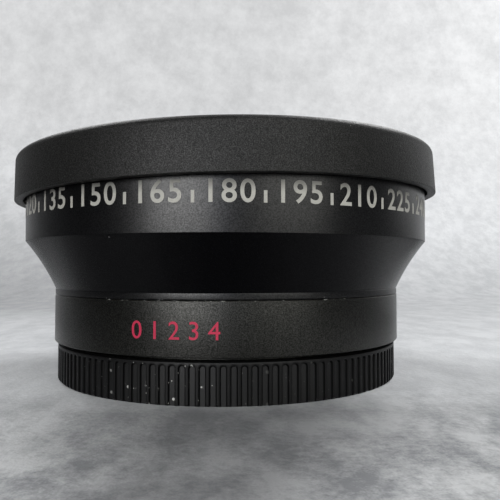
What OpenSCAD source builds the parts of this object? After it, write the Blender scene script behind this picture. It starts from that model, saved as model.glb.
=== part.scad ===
// Wide-angle conversion lens with a close-up unit behind it and a cap on each end.
// It stands on its rear cap. The optical axis is +Z and the front of the lens is up.
// The threads are plain walls here: a male thread stops at its root diameter and a
// female thread at its full diameter, so the two helices run in the space between.

/* [Camera thread] */
// Nominal diameter of the thread that screws into a camera lens
camera_thread_d = 52; // [48:0.5:58]
// Length of that thread below its shoulder
camera_thread_len = 4.5; // [3.5:0.1:6]
// Height of the thread form, from root to crest
thread_depth = 0.4; // [0.3:0.05:0.5]
// Pitch of the threads, which sets their lead-in chamfers and run-out grooves
thread_pitch = 0.75; // [0.5:0.05:1]

/* [Rear cap] */
// Wall of the rear cap, from its thread to the tops of its ribs
grip_wall = 1.45; // [1.2:0.01:2.5]
// Thickness of the rear cap's floor
floor_t = 1.5; // [1:0.05:2.5]
// Open gap between the rear cap's rim and the close-up unit's shoulder
grip_gap = 0.58; // [0.2:0.02:1.2]
// Number of flutes around the rear cap
flute_count = 132; // [96:2:144]
// Share of the flute pitch that the flute takes, the rest being rib
flute_share = 0.645; // [0.4:0.005:0.75]
// Depth of the flutes
flute_depth = 0.33; // [0.15:0.01:0.5]
// Smooth rim above the flutes
flute_rim = 0.42; // [0.3:0.02:1]
// Depth of the shallow recess in the underside
foot_depth = 0.3; // [0.1:0.05:0.6]
// Width of the ring that the cap stands on
foot_w = 4; // [2:0.1:8]

/* [Close-up unit] */
// Width of the shoulder outside the camera thread
shoulder_w = 2; // [1.5:0.05:4]
// Height of the close-up unit's outer ring
macro_h = 7.05; // [6:0.05:10]
// Wall between the camera thread and the close-up glass
macro_wall = 3.5; // [2.5:0.05:5]
// Radius of curvature of the close-up glass, front face
crown_front_curve = 75; // [55:1:200]
// Radius of curvature of the cemented faces
cement_curve = 70; // [55:1:200]
// Radius of curvature of the close-up glass, rear face
flint_rear_curve = 300; // [150:1:600]
// Edge thickness of the front, biconvex half of the close-up glass
crown_edge = 1.1; // [0.8:0.05:2]
// Centre thickness of the rear, meniscus half
flint_centre = 1.6; // [1.2:0.05:3]
// Width of the shoulder between the close-up unit's outside and the thread in its mouth
joint_shoulder = 3.5; // [3.2:0.05:4.5]

/* [Wide-angle barrel] */
// How much smaller the neck is than the close-up unit, on the radius
neck_step = 0.02; // [0:0.01:0.3]
// Height of the polished land at the foot of the neck
land_h = 0.89; // [0.5:0.01:2]
// How far the land stands out from the foot of the flare
land_step = 0.05; // [0.02:0.01:0.3]
// How far the flare opens out, on the radius
flare_out = 4.47; // [3.5:0.02:6]
// Height of the concave flare
flare_h = 7.2; // [6:0.01:9]
// Radius of the flare's hollow curve
flare_curve = 33; // [20:0.5:80]
// Wall of the tube that carries the joint thread
tube_wall = 1.4; // [1:0.05:2]
// Gap between the end of that tube and the ring below it
tube_gap = 0.3; // [0.2:0.02:0.8]
// Wall beside the front glass, at the lettered band
rim_wall = 3.7; // [3.2:0.01:5]
// How far the barrel's rim stands above the front retaining ring
rim_stand = 0.48; // [0.2:0.02:1.5]

/* [Wide-angle glass] */
// Radius of curvature of the front glass, outer face
front_outer_curve = 140; // [110:1:400]
// Radius of curvature of the front glass, hollow face
front_inner_curve = 34; // [30:0.5:60]
// Width of the flat annulus round the hollow face
front_flat_w = 4.2; // [3:0.1:6]
// Centre thickness of the front glass
front_centre = 2.25; // [1.6:0.05:5]
// Radius of curvature of the second glass, hollow face
second_curve = 50; // [35:0.5:100]
// Width of the flat annulus round the second glass's hollow face
second_flat_w = 2.4; // [2:0.1:5]
// Centre thickness of the second glass
second_centre = 1.6; // [1.2:0.05:4]

/* [Cells and rings] */
// Thickness of the ledge that each glass sits on
ledge_t = 1.4; // [1:0.05:2]
// How far each retaining ring laps over its glass
ring_lap = 1.4; // [0.8:0.05:2]
// How far each retaining ring's thread stands outside its glass
ring_step = 1.4; // [1.2:0.05:2]
// Thickness of the two inner retaining rings
ring_t = 1.2; // [1:0.05:2]
// Thickness of the front retaining ring
front_ring_t = 2; // [1.4:0.05:3]
// Width of the spanner slots in the rings
slot_w = 1.6; // [1:0.05:2.5]
// Depth of the spanner slots
slot_depth = 0.8; // [0.4:0.05:0.9]
// Thickness of the round seal over the front glass
seal_d = 1.08; // [0.8:0.02:1.4]

/* [Front cap] */
// Thickness of the front cap's wall at its lip
cap_wall = 1.26; // [1:0.02:2]
// Thickness of the front cap's top
cap_top_t = 1.35; // [1:0.05:2.5]
// Depth inside the front cap
cap_depth = 5.45; // [4:0.05:9]
// Draft of the front cap's outside, in degrees
cap_draft = 2.4; // [1:0.1:5]
// Draft of the front cap's inside, in degrees
cap_inner_draft = 1; // [0.5:0.1:2]
// Fillet round the front cap's top edge
cap_fillet = 1; // [0.3:0.05:1.3]
// Rounding of the front cap's lip
lip_round = 0.14; // [0.1:0.02:0.5]
// How far the front cap sits askew, in degrees
cap_tilt = 1.35; // [0:0.05:1.6]
// Diameter of the moulding gate's dimple in the front cap's top
gate_d = 2.2; // [1:0.1:4]
// Depth of that dimple
gate_depth = 0.25; // [0.1:0.05:0.5]

/* [Clearances] */
// Gap between faces that bear on each other
seat_gap = 0.03; // [0.02:0.01:0.1]
// Radial gap between a glass and its cell
glass_gap = 0.1; // [0.06:0.01:0.2]
// Radial gap between a thread's crests and the other thread's roots
thread_gap = 0.05; // [0.03:0.01:0.1]
// Radial gap between the front cap and the barrel
cap_gap = 0.3; // [0.2:0.02:0.8]
// Gap between the front cap's top and the barrel's rim, on the low side
cap_rest_gap = 0.12; // [0.05:0.01:0.5]
// Chamfer on the turned outer edges
edge = 0.28; // [0.1:0.02:0.4]
// Chamfer on the two edges that meet at the joint line
joint_edge = 0.12; // [0.05:0.01:0.3]
// Chamfer on the close-up unit's edge above the rear cap
shoulder_edge = 0.08; // [0.04:0.01:0.3]

/* [Hidden] */
$fn = 180;

// How far a face reaches past a cut, so that the cut is clean
over = 1;

// Sag of a sphere of radius curve at the distance r from its axis
function sag(curve, r) = curve - sqrt(curve * curve - r * r);

// Threads: crest and root radii
camera_r = camera_thread_d / 2;
camera_root_r = camera_r - thread_depth;
camera_bore_r = camera_r + thread_gap;
macro_r = camera_r + shoulder_w;
joint_r = macro_r - joint_shoulder;
joint_root_r = joint_r - thread_depth;
joint_bore_r = joint_r + thread_gap;
lead = thread_pitch / 2;
runout_w = thread_pitch;
runout_depth = thread_pitch / 4;

// Rear cap
grip_r = camera_bore_r + grip_wall;
flute_w = 2 * PI * grip_r / flute_count * flute_share;
tip_z = floor_t + seat_gap;
shoulder_z = tip_z + camera_thread_len;
rear_cap_h = shoulder_z - grip_gap;

// Close-up unit, from the rear up
joint_z = shoulder_z + macro_h;
macro_glass_r = camera_root_r - macro_wall - glass_gap;
macro_ledge_z = tip_z + ledge_t;
flint_rear_sag = sag(flint_rear_curve, macro_glass_r);
cement_sag = sag(cement_curve, macro_glass_r);
crown_front_sag = sag(crown_front_curve, macro_glass_r);
macro_open_r = macro_glass_r - ring_lap;
flint_edge_z = macro_ledge_z + seat_gap + flint_rear_sag - sag(flint_rear_curve, macro_open_r);
flint_edge = flint_centre + cement_sag - flint_rear_sag;
crown_edge_z = flint_edge_z + flint_edge;
crown_top_z = crown_edge_z + crown_edge;
macro_ring_z = crown_top_z + crown_front_sag - sag(crown_front_curve, macro_open_r) + seat_gap;
macro_ring_top_z = macro_ring_z + ring_t;

// Barrel, from the rear up
neck_z = joint_z + seat_gap;
tube_z = macro_ring_top_z + tube_gap;
second_glass_r = joint_root_r - tube_wall - glass_gap;
second_ledge_z = tube_z + ledge_t;
second_z = second_ledge_z + seat_gap;
second_hollow_r = second_glass_r - second_flat_w;
second_top_z = second_z + sag(second_curve, second_hollow_r) + second_centre;
second_ring_z = second_top_z + seat_gap;
second_ring_top_z = second_ring_z + ring_t;
neck_r = macro_r - neck_step;
flare_foot_r = neck_r - land_step;
flare_z = neck_z + land_h;
band_r = flare_foot_r + flare_out;
band_z = flare_z + flare_h;

// Front glass and its ring
front_glass_r = band_r - rim_wall - glass_gap;
front_hollow_r = front_glass_r - front_flat_w;
front_ledge_z = second_ring_top_z + glass_gap;
front_z = front_ledge_z + seat_gap;
front_hollow_sag = sag(front_inner_curve, front_hollow_r);
front_vertex_z = front_z + front_hollow_sag + front_centre;
front_edge_top_z = front_vertex_z - sag(front_outer_curve, front_glass_r);
seal_r = front_glass_r - ring_lap / 2;
seal_z = front_vertex_z - front_outer_curve
         + sqrt(pow(front_outer_curve + seal_d / 2 + seat_gap, 2) - seal_r * seal_r);
front_ring_z = seal_z + seal_d / 2 + seat_gap;
front_ring_top_z = front_ring_z + front_ring_t;
rim_z = front_ring_top_z + rim_stand;

// Front cap, in its own frame with the lip at height 0
cap_inner_r = band_r + cap_gap;
cap_h = cap_depth + cap_top_t;
cap_lip_inner_r = cap_inner_r + cap_depth * tan(cap_inner_draft);
cap_lip_r = cap_lip_inner_r + cap_wall;
cap_top_r = cap_lip_r - cap_h * tan(cap_draft);
cap_ceiling_z = rim_z + cap_rest_gap + band_r * tan(cap_tilt);
cap_lip_z = cap_ceiling_z - cap_depth;

// Half profile of a round cell: a bore for the glass above a ledge, with a wider thread above it
module cell_void(aperture_r, ledge_z, glass_r, thread_z, thread_r, from_z, to_z)
    polygon([[0, from_z], [aperture_r, from_z], [aperture_r, ledge_z],
             [glass_r + glass_gap, ledge_z], [glass_r + glass_gap, thread_z],
             [thread_r + thread_gap, thread_z], [thread_r + thread_gap, to_z], [0, to_z]]);

// A retaining ring with a bevelled mouth and two spanner slots in its upper face
module slotted_ring(z, thickness, inner_r, outer_r) {
    bevel = thickness / 2;
    difference() {
        rotate_extrude()
            polygon([[inner_r, z], [outer_r, z], [outer_r, z + thickness],
                     [inner_r + bevel, z + thickness], [inner_r, z + thickness - bevel]]);
        translate([0, 0, z + thickness - slot_depth / 2 + over / 2])
            cube([2 * outer_r + 2 * over, slot_w, slot_depth + over], center = true);
    }
}

// One flute: flat floor, arched top, open at the cap's foot
module flute() {
    top_z = rear_cap_h - flute_rim - flute_w / 2;
    translate([grip_r - flute_depth, 0, 0])
        rotate([90, 0, 90])
            linear_extrude(flute_depth + over) {
                translate([-flute_w / 2, -over])
                    square([flute_w, top_z + over]);
                translate([0, top_z])
                    circle(r = flute_w / 2);
            }
}

module rear_cap() color("#242526")
    difference() {
        rotate_extrude()
            polygon([[0, foot_depth], [grip_r - foot_w - foot_depth, foot_depth],
                     [grip_r - foot_w, 0], [grip_r - edge, 0], [grip_r, edge],
                     [grip_r, rear_cap_h - edge / 2], [grip_r - edge / 2, rear_cap_h],
                     [camera_bore_r + lead, rear_cap_h], [camera_bore_r, rear_cap_h - lead],
                     [camera_bore_r, floor_t], [0, floor_t]]);
        for (i = [0 : flute_count - 1])
            rotate([0, 0, (i + 0.5) * 360 / flute_count])
                flute();
    }

module macro_housing() color("#1d1d1d")
    rotate_extrude()
        difference() {
            polygon([[0, tip_z], [camera_root_r - lead, tip_z], [camera_root_r, tip_z + lead],
                     [camera_root_r, shoulder_z - runout_w],
                     [camera_root_r - runout_depth, shoulder_z - runout_w + runout_depth],
                     [camera_root_r - runout_depth, shoulder_z],
                     [macro_r - shoulder_edge, shoulder_z], [macro_r, shoulder_z + shoulder_edge],
                     [macro_r, joint_z - joint_edge], [macro_r - joint_edge, joint_z],
                     [0, joint_z]]);
            cell_void(macro_open_r, macro_ledge_z, macro_glass_r,
                      crown_top_z - glass_gap, macro_glass_r + ring_step,
                      tip_z - over, joint_z + over);
            polygon([[0, tube_z - tube_gap / 2], [joint_bore_r, tube_z - tube_gap / 2],
                     [joint_bore_r, joint_z - lead], [joint_bore_r + lead, joint_z],
                     [joint_bore_r + lead, joint_z + over], [0, joint_z + over]]);
        }

// The cemented pair: the rear meniscus and the front biconvex glass share one curve
module cement_sphere(gap)
    translate([0, 0, crown_edge_z - cement_sag + cement_curve])
        sphere(r = cement_curve + gap);

module macro_rear_element() color("#b9c4c6", 0.5)
    difference() {
        intersection() {
            translate([0, 0, flint_edge_z - flint_rear_sag])
                cylinder(r = macro_glass_r, h = flint_rear_sag + flint_edge);
            translate([0, 0, flint_edge_z - flint_rear_sag + flint_rear_curve])
                sphere(r = flint_rear_curve);
        }
        cement_sphere(seat_gap);
    }

module macro_front_element() color("#c3cccb", 0.5)
    intersection() {
        translate([0, 0, crown_edge_z - cement_sag])
            cylinder(r = macro_glass_r, h = cement_sag + crown_edge + crown_front_sag);
        cement_sphere(0);
        translate([0, 0, crown_top_z + crown_front_sag - crown_front_curve])
            sphere(r = crown_front_curve);
    }

module macro_retaining_ring() color("#161616")
    slotted_ring(macro_ring_z, ring_t, macro_open_r, macro_glass_r + ring_step);

// Half profile outside the barrel: joint thread, land, flare and lettered band
module barrel_outline() {
    foot = [flare_foot_r, flare_z];
    brim = [band_r, band_z];
    chord = brim - foot;
    length = norm(chord);
    rise = sqrt(flare_curve * flare_curve - length * length / 4);
    centre = (foot + brim) / 2 + rise * [chord[1], -chord[0]] / length;
    difference() {
        polygon([[0, tube_z], [joint_root_r - lead, tube_z], [joint_root_r, tube_z + lead],
                 [joint_root_r, neck_z - runout_w],
                 [joint_root_r - runout_depth, neck_z - runout_w + runout_depth],
                 [joint_root_r - runout_depth, neck_z],
                 [neck_r - joint_edge, neck_z], [neck_r, neck_z + joint_edge],
                 [neck_r, flare_z - land_step], foot, brim,
                 [band_r, rim_z - edge], [band_r - edge, rim_z], [0, rim_z]]);
        intersection() {
            translate(centre)
                circle(r = flare_curve);
            translate(foot)
                square(chord);
        }
    }
}

module wide_barrel() color("#17181b")
    rotate_extrude()
        difference() {
            barrel_outline();
            cell_void(second_glass_r - second_flat_w + ring_lap / 2, second_ledge_z,
                      second_glass_r, second_top_z - glass_gap, second_glass_r + ring_step,
                      tube_z - over, front_ledge_z + over);
            cell_void(second_glass_r + ring_step + thread_gap, front_ledge_z, front_glass_r,
                      front_edge_top_z + seal_d / 2, front_glass_r + ring_step,
                      front_ledge_z - over / 2, rim_z + over);
            translate([front_glass_r + ring_step + thread_gap, rim_z])
                rotate(45)
                    square(edge * sqrt(2), center = true);
        }

module second_element() color("#b6c6c4", 0.5)
    difference() {
        translate([0, 0, second_z])
            cylinder(r = second_glass_r, h = second_top_z - second_z);
        translate([0, 0, second_z + sag(second_curve, second_hollow_r) - second_curve])
            sphere(r = second_curve);
    }

module second_retaining_ring() color("#161616")
    slotted_ring(second_ring_z, ring_t, second_glass_r - ring_lap, second_glass_r + ring_step);

module front_element() color("#aebfca", 0.5)
    difference() {
        intersection() {
            translate([0, 0, front_z])
                cylinder(r = front_glass_r, h = front_vertex_z - front_z);
            translate([0, 0, front_vertex_z - front_outer_curve])
                sphere(r = front_outer_curve);
        }
        translate([0, 0, front_z + front_hollow_sag - front_inner_curve])
            sphere(r = front_inner_curve);
    }

module front_seal() color("#0f0f0f")
    rotate_extrude()
        translate([seal_r, seal_z])
            circle(r = seal_d / 2);

module front_retaining_ring() color("#18191a")
    slotted_ring(front_ring_z, front_ring_t, front_glass_r - ring_lap - front_ring_t / 2,
                 front_glass_r + ring_step);

// Half profile of the front cap with its lip at height 0
module cap_outline() {
    corner = [cap_top_r - cap_fillet * (1 - sin(cap_draft)) / cos(cap_draft), cap_h - cap_fillet];
    difference() {
        union() {
            polygon([[0, 0], [cap_lip_r - lip_round, 0], [cap_lip_r, lip_round],
                     corner + cap_fillet * [cos(cap_draft), sin(cap_draft)],
                     corner, [corner[0], cap_h], [0, cap_h]]);
            translate(corner)
                circle(r = cap_fillet);
        }
        polygon([[0, -over], [cap_lip_inner_r + lip_round, -over],
                 [cap_lip_inner_r + lip_round, 0], [cap_lip_inner_r, lip_round],
                 [cap_inner_r, cap_depth - lip_round], [cap_inner_r - lip_round, cap_depth],
                 [0, cap_depth]]);
        translate([0, cap_h - gate_depth])
            square([gate_d / 2, gate_depth + over]);
    }
}

// The cap sits askew, turned about the middle of its lip
module front_cap() color("#2b2b2b")
    translate([0, 0, cap_lip_z])
        rotate([0, -cap_tilt, 0])
            rotate_extrude()
                cap_outline();

rear_cap();
macro_housing();
macro_rear_element();
macro_front_element();
macro_retaining_ring();
wide_barrel();
second_element();
second_retaining_ring();
front_element();
front_seal();
front_retaining_ring();
front_cap();
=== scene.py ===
"""Looks of a wide-angle conversion lens that stands on its ribbed rear cap, with a front cap on."""
import math

import bmesh
import bpy
from mathutils import Matrix, Vector


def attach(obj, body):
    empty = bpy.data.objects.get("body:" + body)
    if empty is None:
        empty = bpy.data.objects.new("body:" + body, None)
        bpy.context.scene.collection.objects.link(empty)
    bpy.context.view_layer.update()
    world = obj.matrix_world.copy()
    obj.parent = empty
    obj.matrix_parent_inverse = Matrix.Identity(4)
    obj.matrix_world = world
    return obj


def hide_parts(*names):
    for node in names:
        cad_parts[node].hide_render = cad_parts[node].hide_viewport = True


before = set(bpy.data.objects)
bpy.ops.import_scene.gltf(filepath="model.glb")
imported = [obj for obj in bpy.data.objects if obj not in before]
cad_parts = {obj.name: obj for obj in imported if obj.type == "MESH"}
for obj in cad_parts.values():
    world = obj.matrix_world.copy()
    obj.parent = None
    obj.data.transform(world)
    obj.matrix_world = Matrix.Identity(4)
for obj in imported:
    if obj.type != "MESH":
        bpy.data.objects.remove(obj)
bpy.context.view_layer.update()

MM = 0.001


def sag(curve, r):
    """Sag of a sphere of that radius at the distance r from its axis."""
    return curve - math.sqrt(curve * curve - r * r)


# Sizes in millimetres, worked out from the same driving sizes as in the part's source

# Clearances
SEAT_GAP = 0.03
GLASS_GAP = 0.1
THREAD_GAP = 0.05
# How much lower than the solid the front cap ends, so that it stays inside the solid's box
HAIR = 0.0005

# Threads
PITCH = 0.75
THREAD_DEPTH = 0.4
LEAD = PITCH / 2
RUNOUT = PITCH / 4
CAMERA_R = 26.0
CAMERA_ROOT_R = CAMERA_R - THREAD_DEPTH
CAMERA_BORE_R = CAMERA_R + THREAD_GAP
MACRO_R = CAMERA_R + 2.0
JOINT_R = MACRO_R - 3.5
JOINT_ROOT_R = JOINT_R - THREAD_DEPTH
JOINT_BORE_R = JOINT_R + THREAD_GAP
# A ridge's widths at its foot and its crest, how deep its foot is sunk, and how far in it starts
OUTER_RIDGE = (0.61, 0.094)
INNER_RIDGE = (0.67, 0.15)
SUNK = 0.05
RIDGE_INSET = 0.3

# Chamfers on turned edges, at the joint line and above the rear cap
EDGE = 0.28
JOINT_EDGE = 0.12
SHOULDER_EDGE = 0.08

# Ledges under the glass and the rings that hold it
LEDGE_T = 1.4
RING_LAP = 1.4
RING_STEP = 1.4
RING_T = 1.2
FRONT_RING_T = 2.0
SLOT_W = 1.6
SLOT_DEPTH = 0.8

# Rear cap
GRIP_R = CAMERA_BORE_R + 1.45
FLOOR_T = 1.5
TIP_Z = FLOOR_T + SEAT_GAP
SHOULDER_Z = TIP_Z + 4.5
REAR_CAP_H = SHOULDER_Z - 0.58
FOOT_W = 4.0
FOOT_DEPTH = 0.3
FLUTE_COUNT = 132
FLUTE_PITCH = 2 * math.pi * GRIP_R / FLUTE_COUNT
FLUTE_W = 0.645 * FLUTE_PITCH
FLUTE_DEPTH = 0.33
FLUTE_TOP_Z = REAR_CAP_H - 0.42 - FLUTE_W / 2

# Close-up unit, from the rear up
JOINT_Z = SHOULDER_Z + 7.05
MACRO_GLASS_R = CAMERA_ROOT_R - 3.5 - GLASS_GAP
MACRO_OPEN_R = MACRO_GLASS_R - RING_LAP
MACRO_LEDGE_Z = TIP_Z + LEDGE_T
MACRO_REAR_CURVE = 300.0
CEMENT_CURVE = 70.0
MACRO_FRONT_CURVE = 75.0
MACRO_REAR_Z = MACRO_LEDGE_Z + SEAT_GAP - sag(MACRO_REAR_CURVE, MACRO_OPEN_R)
CEMENT_Z = MACRO_REAR_Z + 1.6
MACRO_EDGE_Z = CEMENT_Z + sag(CEMENT_CURVE, MACRO_GLASS_R) + 1.1
MACRO_FRONT_Z = MACRO_EDGE_Z + sag(MACRO_FRONT_CURVE, MACRO_GLASS_R)
MACRO_RING_Z = MACRO_FRONT_Z - sag(MACRO_FRONT_CURVE, MACRO_OPEN_R) + SEAT_GAP
MOUTH_THREAD_Z = 10.6

# Barrel's outside
NECK_Z = JOINT_Z + SEAT_GAP
NECK_R = MACRO_R - 0.02
LAND_STEP = 0.05
FLARE_Z = NECK_Z + 0.89
FLARE_FOOT_R = NECK_R - LAND_STEP
FLARE_CURVE = 33.0
BAND_Z = FLARE_Z + 7.2
BAND_R = FLARE_FOOT_R + 4.47
TUBE_GAP = 0.3
TUBE_Z = MACRO_RING_Z + RING_T + TUBE_GAP

# Second glass
SECOND_GLASS_R = JOINT_ROOT_R - 1.4 - GLASS_GAP
SECOND_HOLLOW_R = SECOND_GLASS_R - 2.4
SECOND_OPEN_R = SECOND_HOLLOW_R + RING_LAP / 2
SECOND_CURVE = 50.0
SECOND_LEDGE_Z = TUBE_Z + LEDGE_T
SECOND_Z = SECOND_LEDGE_Z + SEAT_GAP
SECOND_HOLLOW_Z = SECOND_Z + sag(SECOND_CURVE, SECOND_HOLLOW_R)
SECOND_TOP_Z = SECOND_HOLLOW_Z + 1.6
SECOND_RING_Z = SECOND_TOP_Z + SEAT_GAP

# Front glass, its seal and its ring
FRONT_GLASS_R = BAND_R - 3.7 - GLASS_GAP
FRONT_HOLLOW_R = FRONT_GLASS_R - 4.2
FRONT_INNER_CURVE = 34.0
FRONT_OUTER_CURVE = 140.0
FRONT_LEDGE_Z = SECOND_RING_Z + RING_T + GLASS_GAP
FRONT_Z = FRONT_LEDGE_Z + SEAT_GAP
FRONT_HOLLOW_Z = FRONT_Z + sag(FRONT_INNER_CURVE, FRONT_HOLLOW_R)
FRONT_VERTEX_Z = FRONT_HOLLOW_Z + 2.25
SEAL_SECTION_R = 0.54
SEAL_R = FRONT_GLASS_R - RING_LAP / 2
SEAL_CURVE = FRONT_OUTER_CURVE + SEAL_SECTION_R + SEAT_GAP
SEAL_Z = FRONT_VERTEX_Z - FRONT_OUTER_CURVE + SEAL_CURVE - sag(SEAL_CURVE, SEAL_R)
FRONT_RING_Z = SEAL_Z + SEAL_SECTION_R + SEAT_GAP
RIM_Z = FRONT_RING_Z + FRONT_RING_T + 0.48

# Front cap
CAP_TILT = math.radians(1.35)
CAP_DEPTH = 5.45
CAP_H = CAP_DEPTH + 1.35 - HAIR
CAP_INNER_R = BAND_R + 0.3
CAP_LIP_INNER_R = CAP_INNER_R + CAP_DEPTH * math.tan(math.radians(1.0))
CAP_LIP_R = CAP_LIP_INNER_R + 1.26
CAP_TOP_R = CAP_LIP_R - CAP_H * math.tan(math.radians(2.4))
CAP_LIP_Z = RIM_Z + 0.12 + BAND_R * math.tan(CAP_TILT) - CAP_DEPTH - HAIR
GATE_R = 1.1
GATE_DEPTH = 0.25

# Figures on the band and on the close-up ring
NUMBER_COUNT = 24
NUMBER_Z = 24.65
NUMBER_H = 2.8
TICK_H = 1.45
TICK_W = 0.42
# Height above which the band's print gets painted shade from the cap's lip
LIP_SHADE_Z = 25.9
MARK_Z = 8.25
MARK_H = 2.25
PAINT_T = 0.05


# Meshes

CORNER = math.radians(28.0)


def mesh_object(name, verts, faces):
    """A new mesh object whose vertices are given in millimetres."""
    mesh = bpy.data.meshes.new(name)
    mesh.from_pydata([(x * MM, y * MM, z * MM) for x, y, z in verts], [], faces)
    mesh.update()
    made = bpy.data.objects.new(name, mesh)
    bpy.context.scene.collection.objects.link(made)
    return made


def smooth(mesh):
    """Smooth shading but for the corners."""
    mesh.polygons.foreach_set("use_smooth", [True] * len(mesh.polygons))
    mesh.set_sharp_from_angle(angle=CORNER)


def tidy_shell(made, weld=0.00005):
    """Welds doubles, points the faces outwards and keeps only real corners sharp."""
    shell = bmesh.new()
    shell.from_mesh(made.data)
    bmesh.ops.remove_doubles(shell, verts=shell.verts, dist=weld * MM)
    bmesh.ops.dissolve_degenerate(shell, edges=shell.edges, dist=1e-9)
    bmesh.ops.recalc_face_normals(shell, faces=shell.faces)
    shell.to_mesh(made.data)
    shell.free()
    smooth(made.data)
    made.data.update()
    return made


def arc(centre, radius, start, end, steps):
    """Points on an arc, start and end in degrees, both ends included."""
    points = []
    for i in range(steps + 1):
        a = math.radians(start + (end - start) * i / steps)
        points.append((centre[0] + radius * math.cos(a), centre[1] + radius * math.sin(a)))
    return points


def rounded(corners, steps=4):
    """A closed half profile whose corners (r, z, fillet) are rounded by their fillets."""
    count = len(corners)
    out = []
    for i, corner in enumerate(corners):
        here = Vector(corner[:2])
        fillet = corner[2] if len(corner) > 2 else 0.0
        before = Vector(corners[i - 1][:2]) - here
        after = Vector(corners[(i + 1) % count][:2]) - here
        if fillet <= 0 or before.length < 1e-6 or after.length < 1e-6:
            out.append(tuple(here))
            continue
        half = before.angle(after) / 2
        reach = min(fillet / math.tan(half), 0.48 * min(before.length, after.length))
        fillet = reach * math.tan(half)
        before.normalize()
        after.normalize()
        start = here + before * reach
        end = here + after * reach
        middle = here + (before + after).normalized() * (fillet / math.sin(half))
        a0 = math.atan2(start.y - middle.y, start.x - middle.x)
        a1 = math.atan2(end.y - middle.y, end.x - middle.x)
        turn = (a1 - a0 + math.pi) % (2 * math.pi) - math.pi
        out += arc(middle, fillet, math.degrees(a0), math.degrees(a0 + turn), steps)
    return out


def turned(name, profile, columns, closed=True):
    """A solid of revolution about the optical axis. Points with r 0 become poles."""
    verts = []
    rows = []
    for r, z in profile:
        if r < 1e-6:
            rows.append([len(verts)])
            verts.append((0.0, 0.0, z))
            continue
        row = []
        for i in range(columns):
            a = 2 * math.pi * i / columns
            row.append(len(verts))
            verts.append((r * math.cos(a), r * math.sin(a), z))
        rows.append(row)
    faces = []
    last = len(rows) if closed else len(rows) - 1
    for k in range(last):
        low = rows[k]
        high = rows[(k + 1) % len(rows)]
        if len(low) == 1 and len(high) == 1:
            continue
        for i in range(columns):
            j = (i + 1) % columns
            if len(low) == 1:
                faces.append((low[0], high[j], high[i]))
            elif len(high) == 1:
                faces.append((low[i], low[j], high[0]))
            else:
                faces.append((low[i], low[j], high[j], high[i]))
    return tidy_shell(mesh_object(name, verts, faces))


def plain_copy(made, name):
    """The evaluated object as a plain mesh object, with the original removed."""
    graph = bpy.context.evaluated_depsgraph_get()
    mesh = bpy.data.meshes.new_from_object(made.evaluated_get(graph), depsgraph=graph)
    mesh.name = name
    mesh.transform(made.matrix_world)
    bpy.data.objects.remove(made)
    fresh = bpy.data.objects.new(name, mesh)
    bpy.context.scene.collection.objects.link(fresh)
    return fresh


# Nodes

def node(tree, kind, **settings):
    made = tree.nodes.new(kind)
    for key, value in settings.items():
        setattr(made, key, value)
    return made


def feed(tree, socket, value):
    """Links a socket, or sets it where the value is plain."""
    if isinstance(value, bpy.types.NodeSocket):
        tree.links.new(value, socket)
    else:
        socket.default_value = value


class Sums:
    """Arithmetic in one node tree. A value is a socket or a number."""

    def __init__(self, tree):
        self.tree = tree

    def add(self, kind, given=(), **settings):
        """A node's first output, with its inputs fed by name or number."""
        made = node(self.tree, kind, **settings)
        for key, value in dict(given).items():
            feed(self.tree, made.inputs[key], value)
        return made.outputs[0]

    def calc(self, operation, *values):
        """One Math node."""
        return self.add("ShaderNodeMath", enumerate(values), operation=operation)

    def chain(self, operation, first, *others):
        for other in others:
            first = self.calc(operation, first, other)
        return first

    def total(self, *values):
        return self.chain("ADD", *values)

    def product(self, *values):
        return self.chain("MULTIPLY", *values)

    def highest(self, *values):
        return self.chain("MAXIMUM", *values)

    def minus(self, first, second):
        return self.calc("SUBTRACT", first, second)

    def length(self, across, along):
        """Length of the slope that goes that far across and that far along."""
        return self.calc("SQRT", self.total(self.calc("POWER", across, 2.0), self.calc("POWER", along, 2.0)))

    def ramp(self, value, low, high, out_low=0.0, out_high=1.0):
        """Maps a value from one range to another, clamped."""
        return self.add("ShaderNodeMapRange", enumerate((value, low, high, out_low, out_high)))


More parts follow.
